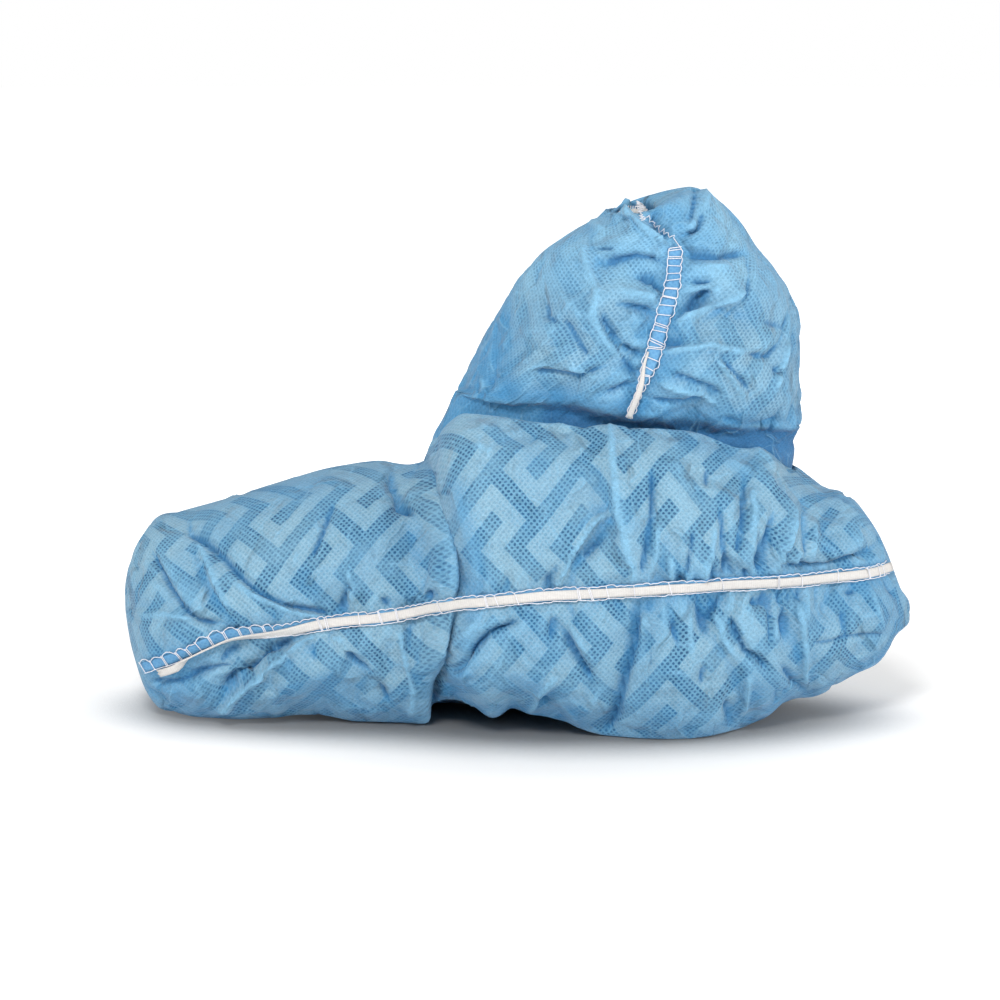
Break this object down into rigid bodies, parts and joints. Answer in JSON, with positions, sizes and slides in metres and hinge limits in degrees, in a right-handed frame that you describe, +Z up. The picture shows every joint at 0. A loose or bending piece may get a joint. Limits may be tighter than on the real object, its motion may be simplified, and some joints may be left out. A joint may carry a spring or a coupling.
{
  "type": "disposable shoe cover",
  "caption": "Light blue nonwoven disposable shoe cover with a puffed foot part, an elastic side seam and a slouched ankle part with a gathered opening.",
  "frame": {"origin": "middle of the cover's footprint, on the floor", "axes": "+X from toe to heel, -Y the near side with the elastic tape, +Z up"},
  "size_m": [0.382, 0.1606, 0.255],
  "materials": {
    "nonwoven": "thin embossed nonwoven, matte, key fret print",
    "seam_edge": "two layers of nonwoven, overlocked with white thread",
    "elastic": "off-white ribbed elastic tape"
  },
  "bodies": {
    "root": {"foot_body": "nonwoven", "ankle_body": "nonwoven", "foot_seam_edge": "seam_edge", "ankle_seam_edge": "seam_edge", "foot_elastic_tape": "elastic", "ankle_elastic_tape": "elastic", "opening_elastic": "elastic"}
  },
  "joints": []
}
